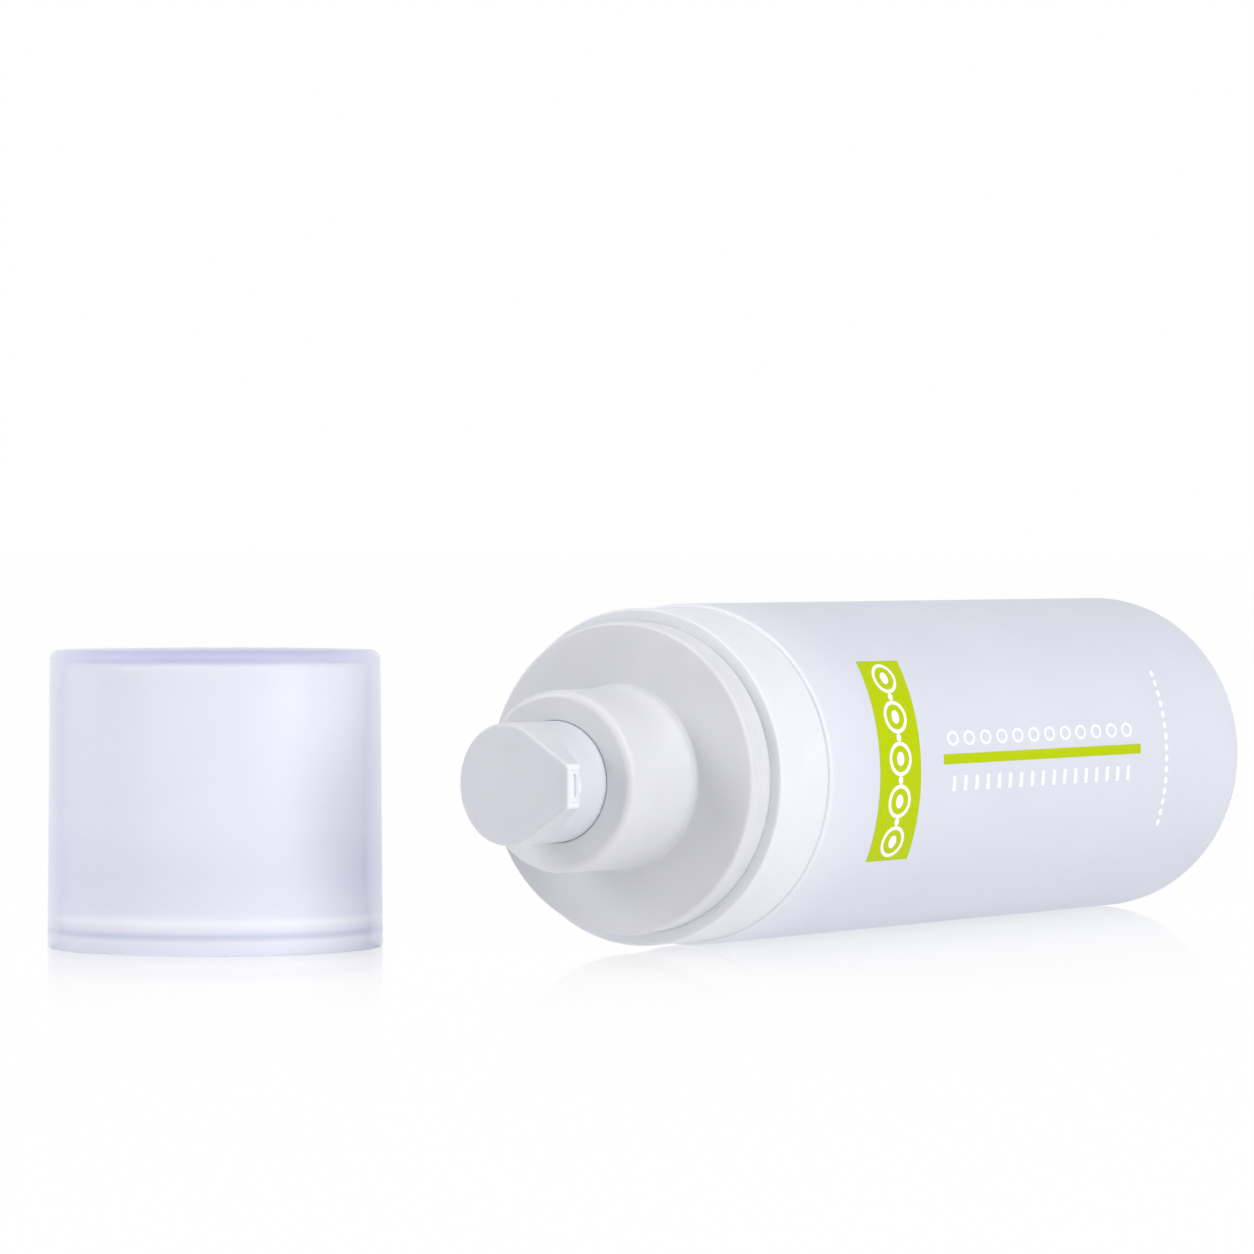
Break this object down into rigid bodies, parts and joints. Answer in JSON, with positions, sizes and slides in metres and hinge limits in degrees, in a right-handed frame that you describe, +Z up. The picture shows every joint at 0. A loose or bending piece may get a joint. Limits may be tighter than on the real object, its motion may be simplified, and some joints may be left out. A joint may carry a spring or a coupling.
{
  "type": "airless pump bottle",
  "caption": "Frosted airless pump bottle lying on its side, with a white pump head and snout, and its frosted cap taken off and standing beside it.",
  "frame": {"origin": "centre of the whole part's outline on the surface that the bottle lies on and the cap stands on", "axes": "+X along the bottle from the pump to the base, +Y from the bottle towards the cap, +Z up; the snout points along -Y"},
  "size_m": [0.1698, 0.0922, 0.0435],
  "materials": {
    "frosted_bottle": "frosted translucent plastic, pale lilac blue",
    "frosted_cap": "frosted translucent plastic, pale lilac",
    "satin_white": "satin moulded white",
    "head_white": "satin moulded white, a little greyer",
    "vessel_white": "smooth moulded white",
    "pump_white": "natural white moulding",
    "piston_white": "soft waxy white",
    "gasket": "soft sealing ring",
    "valve_glass": "polished glass ball",
    "spring_steel": "drawn stainless wire"
  },
  "bodies": {
    "bottle": {"outer_bottle": "frosted_bottle", "inner_vessel": "vessel_white", "vessel_base": "vessel_white", "shoulder_collar": "satin_white", "closure_ring": "pump_white", "neck_gasket": "gasket", "pump_housing": "pump_white", "housing_cap": "pump_white", "pump_cover": "satin_white", "return_spring": "spring_steel"},
    "stem": {"stem": "pump_white", "chamber_piston": "piston_white"},
    "head": {"actuator": "head_white", "nozzle_insert": "head_white"},
    "follower": {"follower_piston": "piston_white"},
    "inlet_valve": {"inlet_ball": "valve_glass"},
    "outlet_valve": {"outlet_ball": "valve_glass"},
    "cap": {"cap": "frosted_cap"}
  },
  "joints": [
    {"name": "head_press", "type": "slide", "parent": "bottle", "child": "stem", "axis": [1, 0, 0], "range_m": [0, 0.005], "stiffness_N_per_m": 1500, "springref_m": -0.004, "deforming": ["return_spring"]},
    {"name": "head_swivel", "type": "hinge", "parent": "stem", "child": "head", "pos_m": [-0.06473, -0.02437, 0.02175], "axis": [1, 0, 0], "continuous": true},
    {"name": "follower_rise", "type": "slide", "parent": "bottle", "child": "follower", "axis": [-1, 0, 0], "range_m": [0, 0.0887]},
    {"name": "inlet_lift", "type": "slide", "parent": "bottle", "child": "inlet_valve", "axis": [-1, 0, 0], "range_m": [0, 0.0008]},
    {"name": "outlet_lift", "type": "slide", "parent": "stem", "child": "outlet_valve", "axis": [-1, 0, 0], "range_m": [0, 0.0006]},
    {"name": "cap_lift", "type": "slide", "parent": "bottle", "child": "cap", "axis": [0, 0, 1], "range_m": [0, 0.04]}
  ]
}
